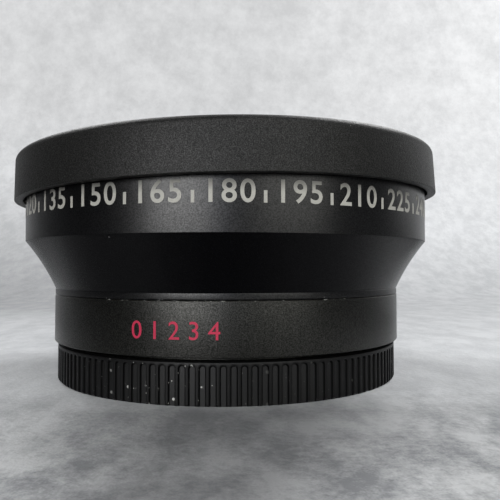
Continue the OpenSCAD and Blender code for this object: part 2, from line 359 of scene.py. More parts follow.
class Finish(Sums):
    """A procedural finish on one Principled shader, with its pattern in millimetres."""

    def __init__(self, name, **sockets):
        self.material = bpy.data.materials.new(name)
        self.material.use_nodes = True
        super().__init__(self.material.node_tree)
        self.shader = self.tree.nodes["Principled BSDF"]
        for key, value in sockets.items():
            self.shader.inputs[key.replace("_", " ")].default_value = value
        place = node(self.tree, "ShaderNodeTexCoord")
        self.mm = self.scaled(place.outputs["Object"], (1 / MM, 1 / MM, 1 / MM))
        apart = node(self.tree, "ShaderNodeSeparateXYZ")
        self.tree.links.new(self.mm, apart.inputs[0])
        self.x, self.y, self.z = apart.outputs

    def scaled(self, place, scale):
        return self.add("ShaderNodeMapping", {"Vector": place, "Scale": scale})

    def noise(self, per_mm, detail=2.0, roughness=0.5, stretch=None):
        """Noise from 0 to 1 with that many features in a millimetre."""
        place = self.scaled(self.mm, stretch) if stretch else self.mm
        return self.add("ShaderNodeTexNoise", {"Vector": place, "Scale": per_mm, "Detail": detail,
                                               "Roughness": roughness})

    def specks(self, per_mm, size, chance):
        """1 inside small round specks, in that share of the cells of a random grid, else 0."""
        made = node(self.tree, "ShaderNodeTexVoronoi")
        made.inputs["Scale"].default_value = per_mm
        self.tree.links.new(self.mm, made.inputs["Vector"])
        near = self.calc("LESS_THAN", made.outputs["Distance"], size)
        apart = node(self.tree, "ShaderNodeSeparateColor")
        self.tree.links.new(made.outputs["Color"], apart.inputs[0])
        rare = self.calc("LESS_THAN", apart.outputs[0], chance)
        return self.product(near, rare)

    def turning(self, per_mm):
        """Fine lines round the axis, as a lathe tool leaves them."""
        along = self.total(self.z, self.product(self.radius(), 0.9))
        return self.add("ShaderNodeTexNoise", {"W": along, "Scale": per_mm, "Detail": 3.0},
                        noise_dimensions="1D")

    def radius(self):
        return self.length(self.x, self.y)

    def distance(self, place):
        """Distance from a place."""
        made = node(self.tree, "ShaderNodeVectorMath", operation="DISTANCE")
        made.inputs[1].default_value = place
        self.tree.links.new(self.mm, made.inputs[0])
        return made.outputs["Value"]

    def chips(self, edge_z, soft, per_mm, least):
        """1 in chips along the edge at that height, else 0."""
        up = self.ramp(self.z, edge_z - 0.1 - soft, edge_z - 0.1)
        down = self.ramp(self.z, edge_z + 0.1, edge_z + 0.1 + soft, 1.0, 0.0)
        return self.product(up, down, self.ramp(self.noise(per_mm, 4.0, 0.7), least, least + 0.04))

    def blend(self, share, first, second):
        """A mix of two colours, given as sockets or as red, green and blue."""
        made = node(self.tree, "ShaderNodeMix", data_type="RGBA")
        feed(self.tree, made.inputs["Factor"], share)
        for socket, value in ((made.inputs[6], first), (made.inputs[7], second)):
            feed(self.tree, socket, value + (1,) if isinstance(value, tuple) else value)
        return made.outputs[2]

    def colour(self, value):
        feed(self.tree, self.shader.inputs["Base Color"], value)

    def rough(self, value):
        feed(self.tree, self.shader.inputs["Roughness"], value)

    def shine(self, value):
        feed(self.tree, self.shader.inputs["Specular IOR Level"], value)

    def bump(self, *layers):
        """Stacks bumps; each layer is a height from 0 to 1 and its depth in millimetres."""
        normal = None
        for height, depth in layers:
            made = node(self.tree, "ShaderNodeBump")
            made.inputs["Strength"].default_value = 1.0
            made.inputs["Distance"].default_value = depth * MM
            self.tree.links.new(height, made.inputs["Height"])
            if normal is not None:
                self.tree.links.new(normal, made.inputs["Normal"])
            normal = made.outputs["Normal"]
        self.tree.links.new(normal, self.shader.inputs["Normal"])


# Finishes

def cap_plastic():
    """Moulded dark grey plastic with a fine orange-peel grain."""
    f = Finish("front_cap_plastic", IOR=1.40)
    grain = f.noise(3.6, 3.0, 0.6)
    fine = f.noise(8.0)
    tone = f.blend(f.noise(0.12), (0.0035, 0.0035, 0.0032), (0.0055, 0.0055, 0.0051))
    tone = f.blend(f.ramp(fine, 0.54, 0.7, 0.0, 0.30), tone, (0.05, 0.05, 0.048))
    dust = f.specks(1.3, 0.08, 0.05)
    f.colour(f.blend(f.product(dust, 0.6), tone, (0.25, 0.25, 0.24)))
    f.rough(f.ramp(grain, 0.25, 0.75, 0.44, 0.60))
    f.shine(f.ramp(fine, 0.36, 0.64, 0.25, 0.69))
    f.bump((grain, 0.04), (fine, 0.012))
    return f.material


def blasted_black():
    """Bead-blasted aluminium with a matt black anodised skin, worn pale at the joint's edge."""
    f = Finish("matt_anodised", IOR=1.45, Specular_Tint=(1.0, 1.0, 0.95, 1))
    grain = f.noise(4.5, 3.0, 0.65)
    fine = f.noise(7.0)
    tone = f.blend(f.noise(0.25), (0.0012, 0.0012, 0.0010), (0.0026, 0.0026, 0.0022))
    tone = f.blend(f.ramp(fine, 0.56, 0.7, 0.0, 0.2), tone, (0.04, 0.04, 0.034))
    f.colour(f.blend(f.chips(JOINT_Z, 0.05, 1.9, 0.60), tone, (0.30, 0.30, 0.285)))
    f.rough(f.ramp(grain, 0.25, 0.75, 0.27, 0.38))
    f.shine(f.ramp(fine, 0.36, 0.64, 0.24, 0.70))
    f.bump((grain, 0.022), (fine, 0.008))
    return f.material


def satin_black(name, ior, rough_low, rough_high):
    """Fine-turned aluminium with a satin black anodised skin, slightly blue."""
    f = Finish(name, IOR=ior)
    grain = f.noise(8.0, 2.0, 0.6)
    lines = f.turning(14.0)
    tone = f.blend(f.noise(0.2), (0.0008, 0.0008, 0.0011), (0.0015, 0.0015, 0.0020))
    dust = f.specks(0.9, 0.085, 0.035)
    tone = f.blend(f.product(dust, 0.4), tone, (0.2, 0.2, 0.2))
    f.colour(f.blend(f.chips(NECK_Z, 0.04, 2.3, 0.64), tone, (0.4, 0.4, 0.4)))
    f.rough(f.ramp(grain, 0.25, 0.75, rough_low, rough_high))
    f.shine(f.ramp(f.noise(6.5), 0.36, 0.64, 0.34, 0.68))
    f.bump((lines, 0.0012), (grain, 0.007))
    return f.material


def ring_black():
    """Turned black rings inside the lens."""
    f = Finish("ring_black", IOR=1.5)
    lines = f.turning(9.0)
    grain = f.noise(9.0)
    f.colour(f.blend(grain, (0.008, 0.008, 0.008), (0.015, 0.015, 0.015)))
    f.rough(f.ramp(lines, 0.3, 0.7, 0.3, 0.45))
    f.bump((lines, 0.004), (grain, 0.002))
    return f.material


def rib_dust(f):
    """Share of white dust caught in the ribs, thickest left of the middle."""
    near = f.ramp(f.distance((-7.5, -26.5, 2.6)), 3.0, 11.0, 1.0, 0.07)
    specks = f.highest(f.specks(2.4, 0.16, 0.13), f.specks(0.85, 0.19, 0.15))
    scuffs = f.ramp(f.noise(1.4, 5.0, 0.75, (1.0, 1.0, 0.45)), 0.64, 0.72, 0.0, 0.35)
    return f.product(f.highest(specks, scuffs), near, 0.9)


def rib_shine(f):
    """Shine of the ribs: strong on the flutes' floors, less on the ribs' tops, and least in the corners,
    where the low shine is painted shade.
    """
    turns = f.product(f.calc("ARCTAN2", f.y, f.x), FLUTE_COUNT / (2 * math.pi))
    across = f.product(f.minus(f.calc("FRACT", turns), 0.5), FLUTE_PITCH)
    above = f.highest(f.minus(f.z, FLUTE_TOP_Z), 0.0)
    spine = f.length(across, above)
    wall = f.calc("ABSOLUTE", f.minus(spine, FLUTE_W / 2 - 0.03))
    outside = f.ramp(f.radius(), GRIP_R - 0.6, GRIP_R - 0.5)
    raised = f.product(f.ramp(spine, FLUTE_W / 2, FLUTE_W / 2 + 0.06), outside)
    # Painted shade: the shine drops in the corners of the flutes
    shade = f.product(f.ramp(wall, 0.03, 0.11, 0.85, 0.0), outside)
    return f.product(f.ramp(raised, 0.0, 1.0, 0.53, 0.3), f.minus(1.0, shade))


def rib_plastic():
    """Black moulded plastic of the rear cap."""
    f = Finish("rear_cap_plastic", IOR=1.40)
    grain = f.noise(5.0, 3.0, 0.6)
    tone = f.blend(grain, (0.0020, 0.0020, 0.0021), (0.0040, 0.0040, 0.0042))
    f.colour(f.blend(rib_dust(f), tone, (0.55, 0.55, 0.52)))
    f.rough(f.ramp(grain, 0.25, 0.75, 0.38, 0.52))
    f.shine(rib_shine(f))
    f.bump((grain, 0.006), (f.noise(14.0), 0.002))
    return f.material


def seal_rubber():
    f = Finish("seal_rubber", IOR=1.5)
    grain = f.noise(7.0)
    f.colour(f.blend(grain, (0.006, 0.006, 0.006), (0.014, 0.014, 0.014)))
    f.rough(f.ramp(grain, 0.2, 0.8, 0.55, 0.75))
    f.bump((grain, 0.006))
    return f.material


def coated_glass(name, tint, film_nm, ior):
    """Polished optical glass with a thin coating and a trace of dust."""
    f = Finish(name, IOR=ior, Transmission_Weight=1.0, Thin_Film_Thickness=film_nm, Thin_Film_IOR=1.38)
    haze = f.noise(0.35, 3.0)
    dust = f.specks(0.9, 0.04, 0.12)
    f.colour(f.blend(haze, tint, (0.99, 0.99, 0.99)))
    f.rough(f.highest(f.ramp(haze, 0.3, 0.8, 0.004, 0.03), f.product(dust, 0.5)))
    f.bump((haze, 0.0004))
    return f.material


def edge_paint():
    """Matt black paint on the ground edges of the glass."""
    f = Finish("glass_edge_paint", IOR=1.45)
    grain = f.noise(6.0, 3.0)
    f.colour(f.blend(grain, (0.005, 0.005, 0.005), (0.012, 0.012, 0.012)))
    f.rough(f.ramp(grain, 0.2, 0.8, 0.7, 0.9))
    f.bump((grain, 0.01))
    return f.material


def print_paint(name, colour, worn_colour, shade_z=None):
    """Paint in the numerals, a little uneven, with painted shade that darkens it above a given height, for
    the shadow under the cap's lip.
    """
    f = Finish(name, IOR=1.45)
    grain = f.noise(5.0, 4.0, 0.7)
    tone = f.blend(f.ramp(grain, 0.52, 0.7, 0.0, 0.6), colour, worn_colour)
    if shade_z:
        # Painted shade: darker towards the top of the numerals, for the shadow under the cap's lip
        shaded = tuple(0.3 * part for part in colour)
        tone = f.blend(f.ramp(f.z, shade_z, shade_z + 1.5, 0.0, 0.9), tone, shaded)
    f.colour(tone)
    f.rough(f.ramp(grain, 0.2, 0.8, 0.5, 0.7))
    f.bump((grain, 0.004))
    return f.material


# Geometry Nodes

SOCKETS = {float: "NodeSocketFloat", int: "NodeSocketInt", bpy.types.Material: "NodeSocketMaterial"}


class Rule(Sums):
    """A Geometry Nodes tree with named inputs, used once on one object."""

    def __init__(self, name, **inputs):
        super().__init__(bpy.data.node_groups.new(name, "GeometryNodeTree"))
        sockets = self.tree.interface
        sockets.new_socket("Geometry", in_out="INPUT", socket_type="NodeSocketGeometry")
        self.values = {}
        for key, value in inputs.items():
            made = sockets.new_socket(key.replace("_", " "), in_out="INPUT", socket_type=SOCKETS[type(value)])
            self.values[made.identifier] = value
        sockets.new_socket("Geometry", in_out="OUTPUT", socket_type="NodeSocketGeometry")
        self.given = node(self.tree, "NodeGroupInput").outputs
        self.out = node(self.tree, "NodeGroupOutput").inputs

    def between(self, value, low, high):
        """1 between two values, else 0."""
        return self.product(self.calc("GREATER_THAN", value, low), self.calc("LESS_THAN", value, high))

    def on_circle(self, radius, angle, height):
        """The place at that radius, angle and height."""
        x = self.product(radius, self.calc("COSINE", angle))
        y = self.product(radius, self.calc("SINE", angle))
        return self.add("ShaderNodeCombineXYZ", {"X": x, "Y": y, "Z": height})

    def end(self, geometry):
        """Realised instances, welded and with the material set, go to the output."""
        real = self.add("GeometryNodeRealizeInstances", {"Geometry": geometry})
        weld = self.add("GeometryNodeMergeByDistance", {"Geometry": real, "Distance": 0.0001 * MM})
        done = self.add("GeometryNodeSetMaterial", {"Geometry": weld, "Material": self.given["Material"]})
        self.tree.links.new(done, self.out[0])

    def build(self, made, name):
        """Runs the tree on the object and returns its result as a plain mesh object."""
        modifier = made.modifiers.new(name, "NODES")
        modifier.node_group = self.tree
        for identifier, value in self.values.items():
            modifier[identifier] = value
        return tidy_shell(plain_copy(made, name))

    def grow(self, name):
        """Runs the tree on an empty seed."""
        return self.build(mesh_object(name + "_seed", [(0, 0, 0)], []), name)


def repeat_round(made, name, copies, material):
    """Copies the object's mesh round the axis, half a step off +X, and welds the copies."""
    rule = Rule("ring_of_copies", Copies=copies, Material=material)
    index = rule.add("GeometryNodeInputIndex")
    step = rule.calc("DIVIDE", 2 * math.pi, rule.given["Copies"])
    turn = rule.add("ShaderNodeCombineXYZ", {"Z": rule.product(rule.total(index, 0.5), step)})
    points = rule.add("GeometryNodePoints", {"Count": rule.given["Copies"]})
    rule.end(rule.add("GeometryNodeInstanceOnPoints",
                      {"Points": points, "Instance": rule.given["Geometry"], "Rotation": turn}))
    return rule.build(made, name)


def screw_thread(name, base_r, crest_r, widths, low, high, phase, material):
    """A right-handed ridge of 60 degree form that fades into the wall at both ends."""
    base_w, crest_w = widths
    turns = (high - low) / PITCH
    rule = Rule("screw_thread", Pitch=PITCH * MM, Turns=turns, Start_height=low * MM, Start_turn=phase,
                Base_radius=base_r * MM, Crest_radius=crest_r * MM, Base_width=base_w * MM,
                Crest_width=crest_w * MM, Fade=0.12, Steps=int(turns * 128), Material=material)
    given = rule.given
    grid = rule.add("GeometryNodeMeshGrid", {"Size X": 1.0, "Size Y": 1.0, "Vertices X": 5,
                                             "Vertices Y": given["Steps"]})
    place = node(rule.tree, "ShaderNodeSeparateXYZ")
    rule.tree.links.new(rule.add("GeometryNodeInputPosition"), place.inputs[0])
    corner = rule.total(place.outputs[0], 0.5)
    crest = rule.between(corner, 0.2, 0.6)
    upper = rule.between(corner, 0.4, 0.9)
    along = rule.product(rule.total(place.outputs[1], 0.5), given["Turns"])
    to_end = rule.calc("MINIMUM", along, rule.minus(given["Turns"], along))
    rise = rule.calc("MINIMUM", rule.calc("DIVIDE", to_end, given["Fade"]), 1.0)
    narrower = rule.product(crest, rule.minus(given["Crest width"], given["Base width"]))
    offset = rule.product(rule.total(given["Base width"], narrower), rule.minus(upper, 0.5), rise)
    step_out = rule.product(crest, rule.minus(given["Crest radius"], given["Base radius"]), rise)
    radius = rule.total(given["Base radius"], step_out)
    angle = rule.product(rule.total(along, given["Start turn"]), 2 * math.pi)
    height = rule.total(given["Start height"], offset, rule.product(along, given["Pitch"]))
    there = rule.on_circle(radius, angle, height)
    rule.end(rule.add("GeometryNodeSetPosition", {"Geometry": grid, "Position": there}))
    return rule.grow(name)


def outer_thread(name, root_r, low, high, material):
    """A male thread's ridge, sunk a little into the wall at its root."""
    return screw_thread(name, root_r - SUNK, root_r + THREAD_DEPTH, OUTER_RIDGE, low, high, 0.0, material)


def inner_thread(name, bore_r, low, high, material):
    """A female thread's ridge, half a turn on, so that it runs between the male one's turns."""
    return screw_thread(name, bore_r + SUNK, bore_r - THREAD_DEPTH, INNER_RIDGE, low, high, 0.5, material)


def tick_ring(name, radius, low, high, count, width, material):
    """Printed tick marks round the band, midway between the numbers."""
    rule = Rule("tick_marks", Count=count, Radius=radius * MM, Middle_height=(low + high) / 2 * MM,
                Length=(high - low) * MM, Width=width * MM, Thickness=PAINT_T * MM,
                First_turn=0.5 / count, Material=material)
    given = rule.given
    index = rule.add("GeometryNodeInputIndex")
    turn = rule.total(rule.calc("DIVIDE", index, given["Count"]), given["First turn"])
    angle = rule.product(turn, 2 * math.pi)
    there = rule.on_circle(given["Radius"], angle, given["Middle height"])
    points = rule.add("GeometryNodePoints", {"Count": given["Count"], "Position": there})
    size = rule.add("ShaderNodeCombineXYZ", {"X": given["Thickness"], "Y": given["Width"],
                                             "Z": given["Length"]})
    bar = rule.add("GeometryNodeMeshCube", {"Size": size})
    facing = rule.add("ShaderNodeCombineXYZ", {"Z": angle})
    rule.end(rule.add("GeometryNodeInstanceOnPoints", {"Points": points, "Instance": bar,
                                                       "Rotation": facing}))
    return rule.grow(name)


# Shapes

def front_cap_shape():
    """The slip-on cap with its gate's dimple, made level at its lip's height and then set askew."""
    outline = rounded([(0.0, CAP_H - GATE_DEPTH), (GATE_R, CAP_H - GATE_DEPTH, 0.08),
                       (GATE_R, CAP_H, 0.05), (12.0, CAP_H), (24.0, CAP_H), (31.0, CAP_H),
                       (CAP_TOP_R, CAP_H, 1.0), (CAP_LIP_R, 0.0, 0.13), (CAP_LIP_INNER_R, 0.0, 0.12),
                       (CAP_INNER_R, CAP_DEPTH, 0.14), (24.0, CAP_DEPTH), (12.0, CAP_DEPTH),
                       (0.0, CAP_DEPTH)], steps=7)
    made = turned("front_cap_moulding", outline, columns=384)
    made.data.transform(Matrix.Translation((0, 0, CAP_LIP_Z * MM)) @ Matrix.Rotation(-CAP_TILT, 4, "Y"))
    return made


def flare_points():
    """The concave flare, from its foot to just under the band."""
    foot = Vector((FLARE_FOOT_R, FLARE_Z))
    brim = Vector((BAND_R, BAND_Z))
    chord = brim - foot
    rise = math.sqrt(FLARE_CURVE ** 2 - chord.length_squared / 4)
    middle = (foot + brim) / 2 + Vector((chord.y, -chord.x)).normalized() * rise
    start = math.degrees(math.atan2(foot.y - middle.y, foot.x - middle.x)) % 360
    end = math.degrees(math.atan2(brim.y - middle.y, brim.x - middle.x)) % 360
    return arc(middle, FLARE_CURVE, start, end, 18)[:-1]


def barrel_shape():
    """One turned piece: joint thread wall, land, concave flare and numbered band, with two glass cells."""
    front_thread_r = FRONT_GLASS_R + RING_STEP + THREAD_GAP
    front_thread_z = FRONT_VERTEX_Z - sag(FRONT_OUTER_CURVE, FRONT_GLASS_R) + SEAL_SECTION_R
    second_thread_r = SECOND_GLASS_R + RING_STEP + THREAD_GAP
    outline = [(SECOND_OPEN_R, TUBE_Z, 0.05), (JOINT_ROOT_R - LEAD, TUBE_Z),
               (JOINT_ROOT_R, TUBE_Z + LEAD), (JOINT_ROOT_R, NECK_Z - PITCH),
               (JOINT_ROOT_R - RUNOUT, NECK_Z - PITCH + RUNOUT), (JOINT_ROOT_R - RUNOUT, NECK_Z),
               (NECK_R - JOINT_EDGE, NECK_Z), (NECK_R, NECK_Z + JOINT_EDGE, 0.04),
               (NECK_R, FLARE_Z - LAND_STEP, 0.03)]
    outline += flare_points()
    outline += [(BAND_R, BAND_Z, 0.06), (BAND_R, RIM_Z - EDGE, 0.05), (BAND_R - EDGE, RIM_Z, 0.05),
                (front_thread_r + EDGE, RIM_Z, 0.04), (front_thread_r, RIM_Z - EDGE),
                (front_thread_r, front_thread_z), (FRONT_GLASS_R + GLASS_GAP, front_thread_z),
                (FRONT_GLASS_R + GLASS_GAP, FRONT_LEDGE_Z), (second_thread_r, FRONT_LEDGE_Z),
                (second_thread_r, SECOND_TOP_Z - GLASS_GAP),
                (SECOND_GLASS_R + GLASS_GAP, SECOND_TOP_Z - GLASS_GAP),
                (SECOND_GLASS_R + GLASS_GAP, SECOND_LEDGE_Z), (SECOND_OPEN_R, SECOND_LEDGE_Z)]
    return turned("barrel_turned", rounded(outline), columns=384)


def close_up_ring_shape():
    """The close-up unit's turned housing, with a mouth above and the camera thread's wall below."""
    mouth_z = TUBE_Z - TUBE_GAP / 2
    thread_r = MACRO_GLASS_R + RING_STEP + THREAD_GAP
    thread_z = MACRO_EDGE_Z - GLASS_GAP
    cell_r = MACRO_GLASS_R + GLASS_GAP
    outline = [(MACRO_OPEN_R, TIP_Z), (CAMERA_ROOT_R - LEAD, TIP_Z), (CAMERA_ROOT_R, TIP_Z + LEAD),
               (CAMERA_ROOT_R, SHOULDER_Z - PITCH),
               (CAMERA_ROOT_R - RUNOUT, SHOULDER_Z - PITCH + RUNOUT),
               (CAMERA_ROOT_R - RUNOUT, SHOULDER_Z), (MACRO_R - SHOULDER_EDGE, SHOULDER_Z, 0.02),
               (MACRO_R, SHOULDER_Z + SHOULDER_EDGE, 0.03), (MACRO_R, JOINT_Z - JOINT_EDGE, 0.04),
               (MACRO_R - JOINT_EDGE, JOINT_Z, 0.03), (JOINT_BORE_R + LEAD, JOINT_Z),
               (JOINT_BORE_R, JOINT_Z - LEAD), (JOINT_BORE_R, mouth_z), (thread_r, mouth_z),
               (thread_r, thread_z), (cell_r, thread_z), (cell_r, MACRO_LEDGE_Z),
               (MACRO_OPEN_R, MACRO_LEDGE_Z)]
    return turned("close_up_ring", rounded(outline), columns=384)


class Sector:
    """Vertices and faces of a slice of the rear cap, a flute and half a rib on each side."""

    def __init__(self):
        self.verts = []
        self.faces = []

    def point(self, r, u, z):
        """A vertex at radius r, u millimetres round the grip from the flute's middle."""
        a = u / GRIP_R
        self.verts.append((r * math.cos(a), r * math.sin(a), z))
        return len(self.verts) - 1

    def bridge(self, first, second):
        """Four-sided faces between two rows of vertices."""
        for k in range(len(first) - 1):
            self.faces.append((first[k], second[k], second[k + 1], first[k + 1]))

    def strip(self, row, us, r, z):
        """A new row at that radius and height, bridged to the last one."""
        fresh = [self.point(r, u, z) for u in us]
        self.bridge(row, fresh)
        return fresh

    def close_to_axis(self, row, edge_u, r, z):
        """A flat patch to two points near the axis, then a wedge to the axis."""
        pair = [self.point(r, -edge_u, z), self.point(r, edge_u, z)]
        self.faces.append(tuple(row) + (pair[1], pair[0]))
        inner = [self.point(r / 3, -edge_u, z), self.point(r / 3, edge_u, z)]
        self.faces.append((pair[0], pair[1], inner[1], inner[0]))
        self.faces.append((inner[0], inner[1], self.point(0.0, 0.0, z)))


def rear_cap_sector():
    """The slice of the rear cap that is repeated round the axis, closed but for its two sides."""
    sector = Sector()
    half_w = FLUTE_W / 2
    half_pitch = FLUTE_PITCH / 2
    soft = 0.1
    # Half widths of the lines round the flute, and how deep each is sunk as a share of its depth
    lines = [(0.0, 1.0), (half_w - soft, 1.0), (half_w - 0.35 * soft, 0.84), (half_w, 0.4),
             (half_w + 0.5 * soft, 0.06), (half_w + soft, 0.0), (half_pitch, 0.0)]
    straight = [0.0, 0.12, EDGE, 1.6, 3.0, FLUTE_TOP_Z]
    side_steps = 3
    arch_steps = 2 * (len(lines) - 1) + 2 * side_steps
    arch = [math.pi * (1 - i / arch_steps) for i in range(1, arch_steps)]
    rows = []
    for width, depth in lines:
        path = [(-width, z) for z in straight]
        path += [(width * math.cos(a), FLUTE_TOP_Z + width * math.sin(a)) for a in arch]
        path += [(width, z) for z in reversed(straight)]
        r = GRIP_R - FLUTE_DEPTH * depth
        rows.append([sector.point(min(r, GRIP_R - EDGE + max(z, 0.0)), u, z) for u, z in path])
    for inner, outer in zip(rows, rows[1:]):
        sector.bridge(inner, outer)

    rim_edge = EDGE / 2
    rim_z = REAR_CAP_H - rim_edge
    us = [-width for width, _ in reversed(lines)] + [width for width, _ in lines[1:]]
    climb = [FLUTE_TOP_Z + (rim_z - FLUTE_TOP_Z) * i / side_steps for i in range(side_steps)]
    around = [(-half_pitch, z) for z in climb] + [(u, rim_z) for u in us]
    around += [(half_pitch, z) for z in reversed(climb)]
    around = [sector.point(GRIP_R, u, z) for u, z in around]
    sector.bridge(rows[-1][len(straight) - 1:len(rows[-1]) - len(straight) + 1], around)

    row = around[side_steps:side_steps + len(us)]
    for r, z in ((GRIP_R - 0.32 * rim_edge, REAR_CAP_H - 0.29 * rim_edge), (GRIP_R - rim_edge, REAR_CAP_H),
                 (CAMERA_BORE_R + LEAD, REAR_CAP_H), (CAMERA_BORE_R, REAR_CAP_H - LEAD),
                 (CAMERA_BORE_R, FLOOR_T)):
        row = sector.strip(row, us, r, z)
    sector.close_to_axis(row, half_pitch, 21.0, FLOOR_T)

    row = [line[0] for line in reversed(rows)] + [line[-1] for line in rows[1:]]
    recess_r = GRIP_R - FOOT_W
    for r, z in ((GRIP_R - 0.5, 0.0), (recess_r, 0.0), (recess_r - FOOT_DEPTH, FOOT_DEPTH)):
        row = sector.strip(row, us, r, z)
    sector.close_to_axis(row, half_pitch, 19.0, FOOT_DEPTH)
    return mesh_object("rear_cap_sector", sector.verts, sector.faces)


def slotted_ring_shape(name, low, thickness, inner_r, outer_r):
    """A retaining ring with a bevelled mouth and two spanner slots."""
    bevel = thickness / 2
    top = low + thickness
    outline = rounded([(inner_r, low, 0.04), (outer_r, low, 0.08), (outer_r, top, 0.08),
                       (inner_r + bevel, top, 0.04), (inner_r, top - bevel, 0.04)], steps=3)
    made = turned(name + "_blank", outline, columns=256)
    over = 1.0
    reach = outer_r + over
    half_slot = SLOT_W / 2
    corners = [(x, y, z) for x in (-reach, reach) for y in (-half_slot, half_slot)
               for z in (top - SLOT_DEPTH, top + over)]
    cutter = mesh_object("slot_cutter", corners, [(0, 1, 3, 2), (4, 6, 7, 5), (0, 4, 5, 1),
                                                  (2, 3, 7, 6), (0, 2, 6, 4), (1, 5, 7, 3)])
    tidy_shell(cutter)
    modifier = made.modifiers.new("slots", "BOOLEAN")
    modifier.operation = "DIFFERENCE"
    modifier.solver = "EXACT"
    modifier.object = cutter
    made = plain_copy(made, name)
    bpy.data.objects.remove(cutter)
    return tidy_shell(made, weld=0.0005)


def dish(vertex_z, curve, r, steps, sign):
    """Points from the axis out along a spherical face; sign 1 curves up, -1 down."""
    return [(r * i / steps, vertex_z + sign * sag(curve, r * i / steps)) for i in range(steps + 1)]


def glass_shape(name, rear, front, material, paint):
    """A lens element from its rear and front half profiles; its outer edge is painted."""
    made = turned(name, rear + list(reversed(front)), columns=192, closed=False)
    made.data.materials.append(material)
    made.data.materials.append(paint)
    edge_r = (rear[-1][0] - 0.5) * MM
    for face in made.data.polygons:
        outside = all(math.hypot(*made.data.vertices[v].co[:2]) > edge_r for v in face.vertices)
        if outside and abs(face.normal.z) < 0.2:
            face.material_index = 1
    return made


def wrapped_text(name, words, radius, low, height, middle, tracking, weight):
    """Closed raised figures wrapped on a cylinder, read from outside, middle in degrees from the front."""
    curve = bpy.data.curves.new(name, "FONT")
    curve.body = words
    curve.align_x = "CENTER"
    curve.space_character = tracking
    curve.resolution_u = 5
    curve.extrude = 0.5
    curve.offset = weight
    flat = bpy.data.objects.new(name, curve)
    bpy.context.scene.collection.objects.link(flat)
    made = plain_copy(flat, name)
    tops = [v.co.y for v in made.data.vertices]
    base = min(tops)
    scale = height / (max(tops) - base)
    shell = bmesh.new()
    shell.from_mesh(made.data)
    bmesh.ops.remove_doubles(shell, verts=shell.verts, dist=1e-5)
    reach = max(abs(v.co.x) for v in shell.verts)
    step = 0.35 / scale
    x = -math.floor(reach / step) * step
    while x < reach:
        every = shell.verts[:] + shell.edges[:] + shell.faces[:]
        bmesh.ops.bisect_plane(shell, geom=every, plane_co=(x, 0, 0), plane_no=(1, 0, 0))
        x += step
    for v in shell.verts:
        angle = math.radians(middle) + v.co.x * scale / radius
        out = radius + (v.co.z * 2 - 0.4) * PAINT_T
        up = low + (v.co.y - base) * scale
        v.co = Vector((out * math.sin(angle), -out * math.cos(angle), up)) * MM
    bmesh.ops.recalc_face_normals(shell, faces=shell.faces)
    shell.to_mesh(made.data)
    shell.free()
    return made


def joined(name, parts):
    """Several mesh objects as one."""
    shell = bmesh.new()
    for part in parts:
        shell.from_mesh(part.data)
        bpy.data.objects.remove(part)
    made = mesh_object(name, [], [])
    shell.to_mesh(made.data)
    shell.free()
    made.data.set_sharp_from_angle(angle=CORNER)
    return made


# Pieces

def dress(made, material, body, slot=None, *nodes):
    """Sets the material, puts the piece on its body and hides the CAD parts it stands in for."""
    if not made.data.materials:
        made.data.materials.append(material)
    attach(made, body)
    if nodes:
        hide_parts(*nodes)
    return made


def front_cap():
    """The front cap, one moulding."""
    dress(front_cap_shape(), cap_plastic(), "front_cap", "front_cap_plastic", "front_cap")


def barrel():
    """The barrel with its thread, its ring of numbers and the ticks between them."""
    satin = satin_black("satin_anodised", 1.44, 0.27, 0.36)
    flare = satin_black("flare_anodised", 1.22, 0.22, 0.29)
    white = print_paint("white_print", (0.39, 0.383, 0.348), (0.22, 0.217, 0.20), LIP_SHADE_Z)
    made = barrel_shape()
    made.data.materials.append(satin)
    made.data.materials.append(flare)
    for face in made.data.polygons:
        outside = face.center.xy.length > (FLARE_FOOT_R - 0.1) * MM
        if outside and FLARE_Z * MM < face.center.z < BAND_Z * MM:
            face.material_index = 1
    dress(made, satin, "wide_unit", "satin_anodised", "wide_barrel")
    thread = outer_thread("barrel_joint_thread", JOINT_ROOT_R, TUBE_Z + RIDGE_INSET, NECK_Z - PITCH, satin)
    dress(thread, satin, "wide_unit", "satin_anodised")
    numbers = []
    for k in range(NUMBER_COUNT):
        degrees = k * 360 // NUMBER_COUNT
        numbers.append(wrapped_text("number_%d" % k, str(degrees), BAND_R, NUMBER_Z, NUMBER_H,
                                    degrees - 180, 1.12, 0.012))
    dress(joined("band_numbers", numbers), white, "wide_unit")
    ticks = tick_ring("band_ticks", BAND_R, NUMBER_Z, NUMBER_Z + TICK_H, NUMBER_COUNT, TICK_W, white)
    dress(ticks, white, "wide_unit")


def close_up_unit():
    """The close-up unit's ring with its two threads and its red figures."""
    black = blasted_black()
    red = print_paint("red_print", (0.44, 0.014, 0.055), (0.24, 0.009, 0.03))
    dress(close_up_ring_shape(), black, "macro_unit", "matt_anodised", "macro_housing")
    mouth = inner_thread("close_up_joint_thread", JOINT_BORE_R, MOUTH_THREAD_Z, JOINT_Z - RIDGE_INSET, black)
    dress(mouth, black, "macro_unit", "matt_anodised")
    tail = outer_thread("close_up_camera_thread", CAMERA_ROOT_R, TIP_Z + RIDGE_INSET,
                        SHOULDER_Z - PITCH, black)
    dress(tail, black, "macro_unit", "matt_anodised")
    marks = wrapped_text("close_up_numbers", "01234", MACRO_R, MARK_Z, MARK_H, -14.0, 1.58, 0.0)
    dress(marks, red, "macro_unit")


def rear_cap():
    """The ribbed cap with its thread."""
    plastic = rib_plastic()
    ribbed = repeat_round(rear_cap_sector(), "rear_cap_ribbed", FLUTE_COUNT, plastic)
    dress(ribbed, plastic, "rear_cap", "rear_cap_plastic", "rear_cap")
    thread = inner_thread("rear_cap_thread", CAMERA_BORE_R, FLOOR_T + 0.5, REAR_CAP_H - RIDGE_INSET, plastic)
    dress(thread, plastic, "rear_cap", "rear_cap_plastic")


